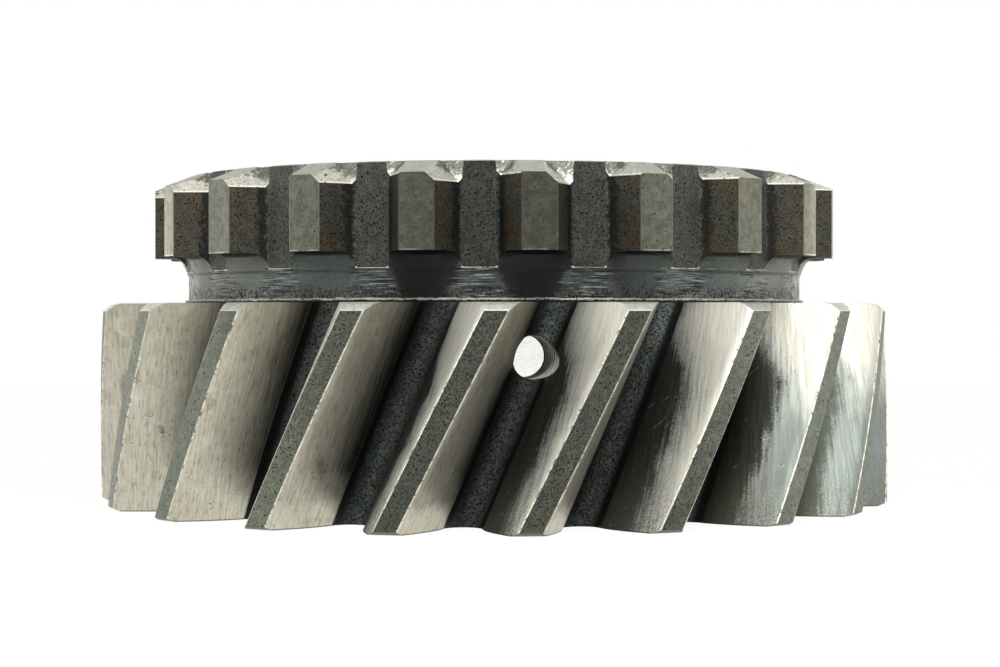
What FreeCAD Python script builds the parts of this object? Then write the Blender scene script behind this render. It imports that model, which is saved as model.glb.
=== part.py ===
import FreeCAD, Part
import math
import os

# A transmission gear with helical teeth below and a ring of clutch teeth above, in one piece.
# Lengths are millimetres and angles are degrees. The axis stands on +Z, z = 0 is the gear's
# lower face, and the front is -Y. An angle round the axis is counted from the front and
# grows towards +X.

# Helical gear
gear_teeth = 20
normal_module = 3.75
normal_pressure_angle = 22.5
helix_angle = 25.0
addendum_factor = 1.0
flank_relief = 0.1
gear_width = 22.5
upper_chamfer_height = 0.87
upper_chamfer_depth = 1.1
lower_chamfer = 0.4
gear_turn = 0.75

# Bore and oil hole
bore_radius = 27.5
bore_chamfer = 0.8
oil_hole_diameter = 4.4
oil_hole_height = 17.0

# Neck between the gear and the clutch ring
neck_wall = 7.75
collar_step = 0.4
collar_height = 0.4
groove_height = 3.05
groove_depth = 0.2
land_height = 1.7
underside_corner = 1.5

# Clutch ring
clutch_teeth = 20
clutch_tooth_depth = 3.5
clutch_tooth_tip = 3.6
clutch_flank_angle = 26.0
clutch_root_fillet = 0.7
clutch_floor_step = 0.1
ring_height = 7.7
cone_height = 1.4
clutch_turn = 6.615

# Sharpened ends of the clutch teeth
facet_slope = 45.0
right_facet_drop = 2.25
left_facet_drop = 1.55
facet_overrun = 0.3
facet_wall_lean = 27.0
# The ends are worn unevenly. Tooth number, and how far its right facet lies above its place:
worn_right_facets = {0: -0.25, 1: 0.3, 2: 0.85}

# Levels and radii that follow from the sizes above
collar_top = gear_width + collar_height
groove_top = collar_top + groove_height
ring_bottom = groove_top + land_height
ring_shoulder = ring_bottom + ring_height
part_top = ring_shoulder + cone_height
neck_radius = bore_radius + neck_wall
collar_radius = neck_radius + collar_step
land_radius = neck_radius + groove_depth
clutch_floor_radius = land_radius + clutch_floor_step
clutch_tip_radius = clutch_floor_radius + clutch_tooth_depth

# The gear tooth as it is seen along the axis
helix = math.radians(helix_angle)
pitch_radius = normal_module / math.cos(helix) * gear_teeth / 2
pressure = math.atan(math.tan(math.radians(normal_pressure_angle)) / math.cos(helix))
base_radius = pitch_radius * math.cos(pressure)
tip_radius = pitch_radius + addendum_factor * normal_module
lead = 2 * math.pi * pitch_radius / math.tan(helix)

# The true surfaces are drawn in short steps, which stay within 0.04 mm of them: chords along
# each involute flank, chords along half a round root, and ruled steps up the helix.
flank_chords = 5
root_chords = 4
helix_steps = 4
# How far a cutter reaches beyond what it cuts
cutter_overrun = 1.0

node_name = "transmission_gear"
up = FreeCAD.Vector(0, 0, 1)
centre = FreeCAD.Vector(0, 0, 0)


def place(radius, angle, z=0.0):
    """The point at a radius, and at an angle in radians from the front."""
    return FreeCAD.Vector(radius * math.sin(angle), -radius * math.cos(angle), z)


def blank():
    """The turned steel blank, before any tooth is cut."""
    # The neck meets the clutch ring's underside in a corner that is rounded in two cones.
    corner = min(underside_corner, 0.9 * land_height, 0.9 * clutch_tooth_depth)
    half_way = corner * (1 - math.sqrt(0.5))
    section = [
        (bore_radius, bore_chamfer),
        (bore_radius + bore_chamfer, 0.0),
        (tip_radius - lower_chamfer, 0.0),
        (tip_radius, lower_chamfer),
        (tip_radius, gear_width - upper_chamfer_height),
        (tip_radius - upper_chamfer_depth, gear_width),
        (collar_radius, gear_width),
        (collar_radius, collar_top),
        (neck_radius, collar_top),
        (neck_radius, groove_top - groove_depth),
        (land_radius, groove_top),
        (land_radius, ring_bottom - corner),
        (land_radius + half_way, ring_bottom - half_way),
        (land_radius + corner, ring_bottom),
        (clutch_tip_radius, ring_bottom),
        (clutch_tip_radius, ring_shoulder),
        (neck_radius, part_top),
        (bore_radius + bore_chamfer, part_top),
        (bore_radius, part_top - bore_chamfer),
    ]
    corners = [FreeCAD.Vector(radius, 0, z) for radius, z in section]
    outline = Part.makePolygon(corners + corners[:1])
    return Part.Face(outline).revolve(centre, up, 360)


def involute(angle):
    """How far an involute has turned where its pressure angle is this."""
    return math.tan(angle) - angle


def flank_at(radius):
    """The half angle of a gear gap at a radius: each flank is an involute of the base circle."""
    slope = math.acos(min(1.0, base_radius / radius))
    half_tooth = math.pi / 2 / gear_teeth + involute(pressure) - involute(slope)
    return math.pi / gear_teeth - half_tooth + flank_relief / pitch_radius


def right_half_of_gap():
    """Points from the middle of a gap's round root up its right flank to beyond the tips."""
    half = flank_at(base_radius)
    root_arc = base_radius * math.tan(half)
    root_centre = base_radius / math.cos(half)
    points = []
    for step in range(root_chords):
        swing = (math.pi / 2 - half) * step / root_chords
        across = root_arc * math.sin(swing)
        out = root_centre - root_arc * math.cos(swing)
        points.append(FreeCAD.Vector(across, -out, 0))
    for step in range(flank_chords + 1):
        share = (step / flank_chords) ** 1.5
        radius = base_radius + (tip_radius + cutter_overrun - base_radius) * share
        points.append(place(radius, flank_at(radius)))
    return points


def gap_outline():
    """One gap between two gear teeth, square to the axis, open a little beyond the tips."""
    right = right_half_of_gap()
    left = [FreeCAD.Vector(-point.x, point.y, 0) for point in reversed(right)]
    corners = left[:-1] + right
    return Part.makePolygon(corners + corners[:1])


def gear_gap():
    """The cutter for one gap: its outline climbs and turns along the right-handed helix."""
    low = -cutter_overrun
    height = gear_width + 2 * cutter_overrun
    levels = []
    for step in range(helix_steps + 1):
        level = gap_outline()
        rise = height * step / helix_steps
        level.rotate(centre, up, 360.0 * rise / lead)
        level.translate(up * (low + rise))
        levels.append(level)
    return Part.makeLoft(levels, True, True)


def turn_at(z):
    """The angle of the tooth that gear_turn names, at a height."""
    return gear_turn + 360.0 * (z - gear_width) / lead


def round_the_axis(cutter, count, start_angle):
    """Copies of a cutter, evenly spaced round the axis."""
    copies = []
    for index in range(count):
        copy = cutter.copy()
        copy.rotate(centre, up, start_angle + 360.0 * index / count)
        copies.append(copy)
    return copies


def clutch_gap():
    """The straight cutter for one gap of the clutch ring, with its inner corners rounded."""
    half_step = math.pi / clutch_teeth
    spread = math.tan(math.radians(clutch_flank_angle))
    corners = []
    for hand in (-1, 1):
        along = place(1.0, hand * half_step)
        across = place(1.0, hand * (half_step - math.pi / 2))
        for beyond_tip in (-clutch_tooth_depth, cutter_overrun):
            half_tooth = clutch_tooth_tip / 2 - beyond_tip * spread
            corners.append(along * (clutch_tip_radius + beyond_tip) + across * half_tooth)
    left_inner, left_outer, right_inner, right_outer = corners
    floor = Part.Arc(left_inner, place(clutch_floor_radius, 0.0), right_inner).toShape()
    sides = Part.makePolygon([right_inner, right_outer, left_outer, left_inner])
    outline = Part.Wire([floor] + sides.Edges)
    height = part_top - groove_top + cutter_overrun
    cutter = Part.Face(outline).extrude(up * height)
    inner_edges = []
    for edge in cutter.Edges:
        start, end = edge.Vertexes[0].Point, edge.Vertexes[-1].Point
        upright = abs(start.z - end.z) > height / 2
        if upright and math.hypot(start.x, start.y) < clutch_tip_radius:
            inner_edges.append(edge)
    cutter = cutter.makeFillet(clutch_root_fillet, inner_edges)
    cutter.translate(up * groove_top)
    return cutter


def facet_cutter(hand, drop):
    """The wedge that slopes one side of a clutch tooth's end, for a tooth at the front.

    Its lower edge lies level along the tooth's flank, its inner end leans back towards the
    axis, and hand is 1 for the right side.
    """
    flank = math.radians(clutch_flank_angle)
    inward = FreeCAD.Vector(hand * math.sin(flank), math.cos(flank), 0)
    outward = FreeCAD.Vector(hand * math.cos(flank), -math.sin(flank), 0)
    tip_corner = FreeCAD.Vector(hand * clutch_tooth_tip / 2, -clutch_tip_radius, 0)
    edge_z = part_top - drop
    high = part_top + cutter_overrun - edge_z
    slope = math.tan(math.radians(facet_slope))
    lean = math.tan(math.radians(facet_wall_lean))
    section = [(-high / slope, high), (facet_overrun, -facet_overrun * slope), (facet_overrun, high)]
    front, back = [], []
    for sideways, rise in section:
        start = tip_corner - inward * cutter_overrun + outward * sideways + up * (edge_z + rise)
        wall = -clutch_floor_radius + lean * rise
        front.append(start)
        back.append(start + inward * ((wall - start.y) / math.cos(flank)))
    outlines = [Part.makePolygon(corners + corners[:1]) for corners in (front, back)]
    return Part.makeLoft(outlines, True, True)


def sharpening():
    """All the wedges that point the clutch teeth, round the ring."""
    wedges = []
    for index in range(clutch_teeth):
        right_drop = right_facet_drop - worn_right_facets.get(index, 0.0)
        for wedge in (facet_cutter(1, right_drop), facet_cutter(-1, left_facet_drop)):
            wedge.rotate(centre, up, clutch_turn + 360.0 * index / clutch_teeth)
            wedges.append(wedge)
    return wedges


def oil_hole():
    """The radial hole from the bottom of one gear gap to the bore."""
    angle = math.radians(turn_at(oil_hole_height) + 180.0 / gear_teeth)
    direction = place(1.0, angle)
    inside = bore_radius - cutter_overrun
    start = direction * inside + up * oil_hole_height
    return Part.makeCylinder(oil_hole_diameter / 2, tip_radius - inside, start, direction)


def transmission_gear():
    """The finished gear, as one solid."""
    gap_angle = turn_at(0.0) + 180.0 / gear_teeth
    body = blank()
    body = body.cut(round_the_axis(gear_gap(), gear_teeth, gap_angle))
    body = body.cut(round_the_axis(clutch_gap(), clutch_teeth, clutch_turn + 180.0 / clutch_teeth))
    body = body.cut(sharpening())
    body = body.cut(oil_hole())
    return body.Solids[0]


def main():
    os.makedirs("parts", exist_ok=True)
    gear = transmission_gear()
    gear.exportStep("parts/" + node_name + ".step")
    print("valid:", gear.isValid(), "volume in mm3:", round(gear.Volume, 1))
    print("tip radius:", round(tip_radius, 3), "part height:", round(part_top, 3))


main()
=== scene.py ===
# %% [markdown]
# # A worn transmission gear
# This gear was turned from one steel forging. Its helical teeth were cut and ground, a
# clutch ring was cut above them, and each clutch tooth was sharpened so that a sleeve slides
# over it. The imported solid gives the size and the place. This lesson builds the same gear
# again as one fine mesh, so that small wear shows on its edges, and then gives each machined
# surface its own steel.

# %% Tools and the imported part
import math

import bmesh
import bpy
import numpy as np
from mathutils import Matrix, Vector


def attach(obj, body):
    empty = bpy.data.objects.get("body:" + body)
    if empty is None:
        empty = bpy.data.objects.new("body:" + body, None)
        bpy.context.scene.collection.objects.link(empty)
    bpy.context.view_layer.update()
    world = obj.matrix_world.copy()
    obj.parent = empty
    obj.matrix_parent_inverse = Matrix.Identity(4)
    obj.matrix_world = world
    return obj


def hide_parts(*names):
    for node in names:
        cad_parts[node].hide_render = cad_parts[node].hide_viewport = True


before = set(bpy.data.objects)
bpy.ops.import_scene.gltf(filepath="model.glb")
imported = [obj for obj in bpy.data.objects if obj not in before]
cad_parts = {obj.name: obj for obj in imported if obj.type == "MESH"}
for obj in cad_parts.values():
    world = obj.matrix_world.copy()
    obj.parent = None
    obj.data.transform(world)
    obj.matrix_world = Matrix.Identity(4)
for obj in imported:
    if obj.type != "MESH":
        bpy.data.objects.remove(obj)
bpy.context.view_layer.update()

# %% [markdown]
# ## The sizes
# They are the same named sizes that the solid is built from, in millimetres. Angles round
# the axis are counted from the front, which is -Y, and grow towards +X.

# %% Sizes of the gear
teeth = 20
normal_module = 3.75
normal_pressure_angle = math.radians(22.5)
helix = math.radians(25.0)
gear_width = 22.5
upper_chamfer_height = 0.87
upper_chamfer_depth = 1.1
lower_chamfer = 0.4
flank_relief = 0.1
gear_turn = math.radians(0.75)

pitch_radius = normal_module / math.cos(helix) * teeth / 2
pressure = math.atan(math.tan(normal_pressure_angle) / math.cos(helix))
base_radius = pitch_radius * math.cos(pressure)
tip_radius = pitch_radius + normal_module
twist = math.tan(helix) / pitch_radius
pitch_angle = 2 * math.pi / teeth
print("tip radius", round(tip_radius, 3), "mm, twist", round(twist, 5), "radians a mm")

# %% Sizes of the bore, the neck and the clutch ring
bore_radius = 27.5
bore_chamfer = 0.8
mouth_radius = bore_radius + bore_chamfer
face_start = mouth_radius + 0.3
oil_hole_radius = 2.2
oil_hole_height = 17.0

neck_radius = 35.25
collar_radius = 35.65
land_radius = 35.45
collar_top = 22.9
groove_top = 25.95
ring_bottom = 27.65
ring_shoulder = 35.35
part_top = 36.75
underside_fillet = 1.6
fillet_run = 1.5

floor_radius = 35.55
clutch_tip_radius = 39.05
clutch_tip_half = 1.8
clutch_flank = math.radians(26.0)
clutch_root_fillet = 0.7
clutch_turn = math.radians(6.615)
right_facet_drop = 2.25
left_facet_drop = 1.55
worn_right_facets = {0: -0.25, 1: 0.3, 2: 0.85}
facet_lean = math.tan(math.radians(27.0))
facet_overrun = 0.3
print("clutch ring", 2 * clutch_tip_radius, "mm across, top at", part_top, "mm")

# %% [markdown]
# ## One builder for all the skins
# Every surface of the gear is a sheet of small quads between two edges that it shares with
# its neighbours. A sheet is written down as a grid of points, and a material number goes
# with it. All the sheets go into one mesh, and points that lie together are welded, so the
# gear becomes one closed skin.

# %% Collect sheets of quads
surfaces = ["drive flank", "coast flank", "tooth land", "tooth root", "worn edge", "chamfer",
            "gear face", "neck", "bore", "clutch land", "clutch flank", "clutch floor",
            "facet", "ring top", "oil hole"]
slot_of = {name: number for number, name in enumerate(surfaces)}
points, quads, quad_slots = [], [], []


def count_points():
    return sum(len(part) for part in points)


def add_sheet(grid, surface, closed=False, flip=False):
    """Add a grid of points, shaped (rows, columns, 3) in mm, as a sheet of quads.

    Surface is one name, or an array of slot numbers with one number for each quad. A closed
    sheet joins its last column to its first.
    """
    rows, columns = grid.shape[:2]
    start = count_points()
    points.append(grid.reshape(-1, 3))
    if isinstance(surface, str):
        surface = np.full((rows - 1, columns), slot_of[surface])
    last = columns if closed else columns - 1
    for row in range(rows - 1):
        for column in range(last):
            after = (column + 1) % columns
            a, b = row * columns + column, row * columns + after
            c, d = (row + 1) * columns + after, (row + 1) * columns + column
            corners = (d, c, b, a) if flip else (a, b, c, d)
            quads.append([start + corner for corner in corners])
            quad_slots.append(int(surface[row, column]))


def short_way(angle):
    """The same direction as the angle, by at most half a turn to either side."""
    return (angle + math.pi) % (2 * math.pi) - math.pi


def zip_rings(lower, upper, surface, flip=False):
    """Join two closed rings that have different numbers of points with triangles.

    Each ring is an array of points, in order of growing angle round the axis.
    """
    start = count_points()
    points.extend([lower, upper])
    angles = [np.unwrap(np.arctan2(ring[:, 0], -ring[:, 1])) for ring in (lower, upper)]
    shift = int(np.argmin(np.abs(short_way(angles[1] - angles[0][0]))))
    lows = np.append(angles[0], angles[0][0] + 2 * math.pi) - angles[0][0]
    order = [(shift + step) % len(upper) for step in range(len(upper) + 1)]
    first = short_way(angles[1][shift] - angles[0][0])
    steps = np.diff(np.append(angles[1], angles[1][0] + 2 * math.pi))
    highs = first + np.concatenate([[0.0], np.cumsum(np.roll(steps, -shift))])
    low, high = 0, 0
    while low < len(lower) or high < len(upper):
        a = start + low % len(lower)
        b = start + len(lower) + order[high]
        move_low = high == len(upper) or (low < len(lower) and lows[low + 1] <= highs[high + 1])
        if move_low:
            low += 1
            corner = start + low % len(lower)
        else:
            high += 1
            corner = start + len(lower) + order[high]
        quads.append([b, corner, a] if flip else [a, corner, b])
        quad_slots.append(slot_of[surface])


def at(radius, angle, height):
    """Points from arrays of radius, angle from the front and height."""
    radius, angle, height = np.broadcast_arrays(radius, angle, height)
    return np.stack([radius * np.sin(angle), -radius * np.cos(angle), height], axis=-1)


print("surfaces to make:", surfaces)

# %% [markdown]
# ## The helical teeth
# A gear tooth is an involute: the curve that the end of a taut string draws as it unwinds
# from the base circle. A hob cuts it, so the root between two teeth is one round sweep. The
# outline of one pitch is worked out once, and each of its points then climbs along the
# helix. Each climb ends on the chamfer, at the height that the chamfer has at that radius.

# %% The outline of one pitch
edge_break = 0.09


def half_tooth(radius):
    """Half the angle that a tooth takes up at a radius."""
    slope = np.arccos(np.minimum(1.0, base_radius / radius))
    involute = math.tan(pressure) - pressure - (np.tan(slope) - slope)
    return pitch_angle / 4 + involute - flank_relief / pitch_radius


root_half = pitch_angle / 2 - half_tooth(base_radius)
root_arc = base_radius * math.tan(root_half)
root_centre = base_radius / math.cos(root_half)
swing = np.linspace(0, math.pi / 2 - root_half, 8)[:-1]
root_x = root_arc * np.sin(swing)
root_y = root_centre - root_arc * np.cos(swing)
root_r = np.hypot(root_x, root_y)
root_a = pitch_angle / 2 - np.arctan2(root_x, root_y)

flank_r = base_radius + (tip_radius - edge_break - base_radius) * np.linspace(0, 1, 14) ** 1.3
flank_a = half_tooth(flank_r)
land_half = half_tooth(tip_radius) - edge_break / tip_radius
print("root reaches", round(root_r.min(), 2), "mm, tip land",
      round(2 * land_half * tip_radius, 2), "mm wide")

# %% The sheets of the teeth
climb = np.linspace(0, 1, 37)
end_rows = 7


def low_end(radius):
    """Height at which a tooth begins. The lower chamfer rises towards the tip."""
    return np.maximum(0.0, radius - (tip_radius - lower_chamfer))


def high_end(radius):
    """Height at which a tooth ends. The upper chamfer falls towards the tip."""
    share = np.maximum(0.0, radius - (tip_radius - upper_chamfer_depth)) / upper_chamfer_depth
    return gear_width - upper_chamfer_height * share


def middle_of(tooth, height):
    """The angle of the middle of a helical tooth, at a height."""
    return gear_turn + tooth * pitch_angle + (height - gear_width) * twist


def climbing(radius, angle, tooth):
    """A sheet whose columns climb the helix. Radius and angle describe its outline."""
    low, high = low_end(radius), high_end(radius)
    height = low + climb[:, None] * (high - low)
    return at(radius, middle_of(tooth, height) + angle, height)


def end_sheet(radius, angle, tooth, height_at):
    """The end of one tooth: rows of points from its left flank to its right flank."""
    across = np.linspace(-1, 1, end_rows)
    height = height_at(radius)
    middle = middle_of(tooth, height)
    return at(radius[:, None], middle[:, None] + angle[:, None] * across, height[:, None])


link_r, link_a = np.array([root_r[-1], flank_r[0]]), np.array([root_a[-1], flank_a[0]])
edge_r, edge_a = np.array([flank_r[-1], tip_radius]), np.array([flank_a[-1], land_half])
land_r = np.full(end_rows, tip_radius)
land_a = np.linspace(-land_half, land_half, end_rows)
for tooth in range(teeth):
    for side, flank_name in ((-1, "coast flank"), (1, "drive flank")):
        order = slice(None, None, -side)
        for radius, angle, name in ((root_r, root_a, "tooth root"), (link_r, link_a, "tooth root"),
                                    (flank_r, flank_a, flank_name), (edge_r, edge_a, "worn edge")):
            add_sheet(climbing(radius[order], side * angle[order], tooth), name)
    add_sheet(climbing(land_r, land_a, tooth), "tooth land")
print("tooth sheets:", len(points), "quads:", len(quads))

# %% [markdown]
# ## The ends of the teeth
# The upper end is chamfered and the lower end only has its sharp edge taken off. Both are
# filled with rows that run from flank to flank, and a ring of quads joins the roots to the
# collar above and to the bore below.

# %% Close both ends of every tooth
end_r, end_a = np.append(flank_r, tip_radius), np.append(flank_a, land_half)
quads_before = len(quads)
for tooth in range(teeth):
    for height_at, chamfer_depth, flip in ((high_end, upper_chamfer_depth, True),
                                           (low_end, lower_chamfer, False)):
        bend = int((end_r < tip_radius - chamfer_depth).sum())
        for part, name in ((slice(0, bend), "gear face"), (slice(bend - 1, None), "chamfer")):
            add_sheet(end_sheet(end_r[part], end_a[part], tooth, height_at), name, flip=flip)
print("quads in the ends:", len(quads) - quads_before)

# %% Join the roots to the collar and to the bore
inner_a = np.concatenate([-root_a, np.linspace(-flank_a[0], flank_a[0], end_rows),
                          root_a[::-1][:-1]])
inner_r = np.concatenate([root_r, np.full(end_rows, flank_r[0]), root_r[::-1][:-1]])
ring_a = np.concatenate([inner_a + tooth * pitch_angle for tooth in range(teeth)])
ring_r = np.tile(inner_r, teeth)
for height, inner_radius, rings, flip in ((gear_width, collar_radius, 3, False),
                                          (0.0, face_start, 7, True)):
    turned_a = ring_a + gear_turn + (height - gear_width) * twist
    share = np.linspace(0, 1, rings)[:, None]
    radius = inner_radius + share * (ring_r - inner_radius)
    add_sheet(at(radius, turned_a, height), "gear face", closed=True, flip=flip)
collar_angles = ring_a + gear_turn
lower_angles = ring_a + gear_turn - gear_width * twist
print("quads so far:", len(quads))

# %% [markdown]
# ## The clutch ring in plan
# The clutch teeth are straight, and their flanks close in by 26 degrees towards the tip. One
# pitch of the ring is drawn from the middle of a gap, round the small root fillet, up the
# flank and across the tip. Seen from above it is one closed line, and every point of it
# gets an upright column.

# %% The outline of one clutch pitch
slant = math.tan(clutch_flank)


def clutch_outline():
    """Half a pitch from the gap's middle to the tip, as x across the tooth and u outwards."""
    low, high = floor_radius, floor_radius + 2 * clutch_root_fillet
    # Halving finds the centre of the fillet, which touches both the floor and the flank.
    for _ in range(40):
        u = (low + high) / 2
        x = clutch_tip_half + slant * (clutch_tip_radius - u)
        x += clutch_root_fillet / math.cos(clutch_flank)
        if math.hypot(x, u) > floor_radius + clutch_root_fillet:
            high = u
        else:
            low = u
    start, end = math.atan2(-x, -u), -math.pi / 2 - clutch_flank
    turn = np.linspace(start, end, 6)
    fillet = np.stack([x + clutch_root_fillet * np.sin(turn),
                       u + clutch_root_fillet * np.cos(turn)], axis=1)
    angle = np.linspace(math.pi / teeth, math.pi + start, 6)[:-1]
    floor = floor_radius * np.stack([np.sin(angle), np.cos(angle)], axis=1)
    broken = np.array([clutch_tip_half + edge_break * slant, clutch_tip_radius - edge_break])
    share = np.linspace(0, 1, 9)[1:, None]
    flank = fillet[-1] + (broken - fillet[-1]) * share
    return floor, fillet, flank


floor_line, fillet_line, flank_line = clutch_outline()
print("gap floor ends at", fillet_line[0].round(2), "and the flank runs from",
      fillet_line[-1].round(2), "to", flank_line[-1].round(2))

# %% [markdown]
# ## The sharpened ends
# Seen from above, the end of a clutch tooth is a small landscape: a shallow cone, cut by a
# 45 degree slope on each side, and a steep wall where the slopes run in. So its height is a
# function of the place. The right slope starts lower than the left one, and some teeth are
# worn more than others.

# %% The height of the ring's top at any place
no_slope = 99.0


def drops(tooth):
    """How far below the ring's top the right and the left slope of a tooth start."""
    return right_facet_drop - worn_right_facets.get(tooth, 0.0), left_facet_drop


def cone_height(radius):
    """Height of the ring's top before any slope is cut: level inside, a cone outside."""
    fall = (part_top - ring_shoulder) / (clutch_tip_radius - neck_radius)
    return part_top - fall * np.maximum(0.0, radius - neck_radius)


def slope_height(x, u, side, drop):
    """The height left by one slope and its wall. It is very high where the slope isn't."""
    inside = (clutch_tip_half - side * x) * math.cos(clutch_flank)
    inside = inside + (clutch_tip_radius - u) * math.sin(clutch_flank)
    plane = part_top - drop + inside
    wall = part_top - drop + (floor_radius - u) / facet_lean
    return np.where(inside < -facet_overrun, no_slope, np.maximum(plane, wall))


def top_height(x, u, tooth):
    """Height of the ring's top, and whether a slope has cut it, at x and u of a tooth."""
    right_drop, left_drop = drops(tooth)
    whole = cone_height(np.hypot(x, u))
    cut = np.minimum(slope_height(x, u, 1, right_drop), slope_height(x, u, -1, left_drop))
    return np.minimum(whole, cut), cut < whole


print("slopes of an evenly worn tooth start", drops(3), "mm below the top")

# %% The columns of one clutch tooth
path_end = 34.2
floor_end_x, fillet_start_x, fillet_end_x = 4.45, 4.38, 4.1


def whole_pitch(side, x, u):
    """One row of points: the left side of a pitch, points across the tooth, the right side."""
    across = np.stack([x, np.broadcast_to(u, x.shape)], axis=1)
    return np.concatenate([side * [-1, 1], across, side[::-1][:-1]])


def tooth_columns(tooth):
    """Start (on the outline), middle and inner end of each column of one pitch, and surfaces."""
    outer_z, inner_z = cone_height(clutch_tip_radius), cone_height(floor_radius)
    reach = 1 / math.cos(clutch_flank)
    inner_gain = (clutch_tip_radius - floor_radius) * math.sin(clutch_flank)
    creases = []
    for side, drop in zip((1, -1), drops(tooth)):
        outer = clutch_tip_half - (outer_z - part_top + drop) * reach
        inner = clutch_tip_half - (inner_z - part_top + drop - inner_gain) * reach
        creases.append((side * outer, side * inner))
    (right_outer, right_inner), (left_outer, left_inner) = creases

    tip = clutch_tip_half - edge_break
    wide = clutch_tip_half + facet_overrun
    outer_keys = np.clip([-tip, left_outer, right_outer, tip], -tip, tip)
    inner_keys = np.clip([-wide, left_inner, right_inner, wide], -wide, wide)
    spread = np.concatenate([np.linspace(0, 1, 2), np.linspace(1, 2, 8)[1:],
                             np.linspace(2, 3, 5)[1:]])
    tip_x = np.interp(spread, range(4), np.maximum.accumulate(outer_keys))
    mid_x = np.interp(spread, range(4), np.maximum.accumulate(inner_keys))
    tip_u = np.sqrt(clutch_tip_radius ** 2 - tip_x ** 2)

    side_start = np.concatenate([floor_line, fillet_line, flank_line])
    floors, fillets, flanks = len(floor_line), len(fillet_line), len(flank_line)
    flank_mid = np.linspace(fillet_line[-1][0], wide, flanks + 2)[1:-1]
    side_mid = np.stack([np.concatenate([side_start[:floors + fillets, 0], flank_mid]),
                         np.minimum(side_start[:, 1], floor_radius)], axis=1)
    floor_end = np.linspace(math.pi / teeth, math.atan2(floor_end_x, path_end), floors + 1)
    side_end_x = np.concatenate([path_end * np.tan(floor_end),
                                 np.linspace(fillet_start_x, fillet_end_x, fillets - 1),
                                 np.linspace(fillet_end_x, wide + 0.1, flanks + 1)[1:]])
    side_end = np.stack([side_end_x, np.full(len(side_end_x), path_end)], axis=1)

    side = ["clutch floor"] * (floors + fillets - 1) + ["clutch flank"] * flanks + ["worn edge"]
    names = side + ["clutch land"] * (len(tip_x) - 1) + side[::-1]
    return (whole_pitch(side_start, tip_x, tip_u), whole_pitch(side_mid, mid_x, floor_radius),
            whole_pitch(side_end, mid_x, path_end), [slot_of[name] for name in names])


print("columns in one clutch pitch:", len(tooth_columns(0)[0]))

# %% [markdown]
# ## The skin of the clutch ring
# Each column gives a stretch of wall, from the fillet under the ring to the landscape on
# top, and a path over the top that leads in to the bore. The paths follow the creases, so
# the creases stay sharp.

# %% Build the wall, the top and the underside of the ring
def spin(angle, tooth):
    """An angle counted from the middle of a clutch tooth, counted from the front."""
    return angle + clutch_turn + tooth * pitch_angle


def turned(x, u, z, tooth):
    """Points of a tooth's own x and u, at a height, turned to the tooth's place."""
    return at(np.hypot(x, u), spin(np.arctan2(x, u), tooth), z)


def between(first, last, shares):
    """Rows of points on the way from one row to another."""
    return [first + (last - first) * share for share in shares]


def underside(radius):
    """Height of the ring's underside, which meets the neck in a round fillet."""
    share = np.clip((radius - floor_radius) / fillet_run, 0, 1)
    rise = underside_fillet * np.sqrt(1 - (1 - share) ** 2)
    return ring_bottom - underside_fillet + rise


cone_start = neck_radius + 0.05
wall_rows, top_rows, under_rows = [], [], []
wall_slots, top_slots = [], []
for tooth in range(teeth):
    start, middle, end, slots = tooth_columns(tooth)
    x, u = start.T
    radius, top = np.hypot(x, u), top_height(x, u, tooth)[0]
    low = underside(radius)
    wall_rows.append(turned(x, u, low + np.linspace(0, 1, 12)[:, None] * (top - low), tooth))
    wall_slots.append(slots)
    radius = land_radius + np.linspace(0, 1, 7)[:, None] * (radius - land_radius)
    under_rows.append(at(radius, spin(np.arctan2(x, u), tooth), underside(radius)))

    right_drop, left_drop = drops(tooth)
    across = np.clip(middle[:, 0] / clutch_tip_half, -1, 1)
    drop = left_drop + (right_drop - left_drop) * (across + 1) / 2
    crease_u = floor_radius - facet_lean * drop
    share = (middle[:, 1] - crease_u) / (middle[:, 1] - end[:, 1])
    crease = middle + (end - middle) * share[:, None]
    path = np.array(between(start, middle, np.linspace(0, 1, 5))
                    + between(middle, crease, np.linspace(0, 1, 7)[1:])
                    + between(crease, end, (0.5, 1.0)))
    x, u = path[..., 0], path[..., 1]
    height, cut = top_height(x, u, tooth)
    kind = np.where(cut, slot_of["facet"], slot_of["ring top"])
    kind = np.where(~cut & (np.hypot(x, u) > cone_start), slot_of["chamfer"], kind)
    radius, angle = np.hypot(*end.T), np.arctan2(*end.T)
    rays = [at(radius + (face_start - radius) * share, spin(angle, tooth), part_top)
            for share in (0.5, 1.0)]
    top_rows.append(np.concatenate([turned(x, u, height, tooth), rays]))
    flat = np.full((len(rays), kind.shape[1]), slot_of["ring top"])
    top_slots.append(np.concatenate([kind, flat]))
walls, tops, unders = [np.concatenate(rows, axis=1) for rows in (wall_rows, top_rows, under_rows)]
wall_slots = np.tile(np.concatenate(wall_slots), (walls.shape[0] - 1, 1))
add_sheet(walls, wall_slots, closed=True)
add_sheet(tops, np.concatenate(top_slots, axis=1), closed=True)
add_sheet(unders, "neck", closed=True)
print("ring columns:", walls.shape[1], "quads so far:", len(quads))

# %% [markdown]
# ## The neck and the bore
# The neck is plain turning: one profile goes round the axis. The bore is ground, with a
# small chamfer at each mouth. Where two rings with different numbers of points meet, they
# are zipped together with triangles.

# %% Turn the neck and the bore
def revolve(profile, columns, surface, flip=False):
    """Turn a profile of (radius, height) pairs round the axis and return its two end rings."""
    angle = np.linspace(0, 2 * math.pi, columns, endpoint=False)
    profile = np.array(profile)
    grid = at(profile[:, :1], angle[None, :], profile[:, 1:])
    add_sheet(grid, surface, closed=True, flip=flip)
    return grid[0], grid[-1]


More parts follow.
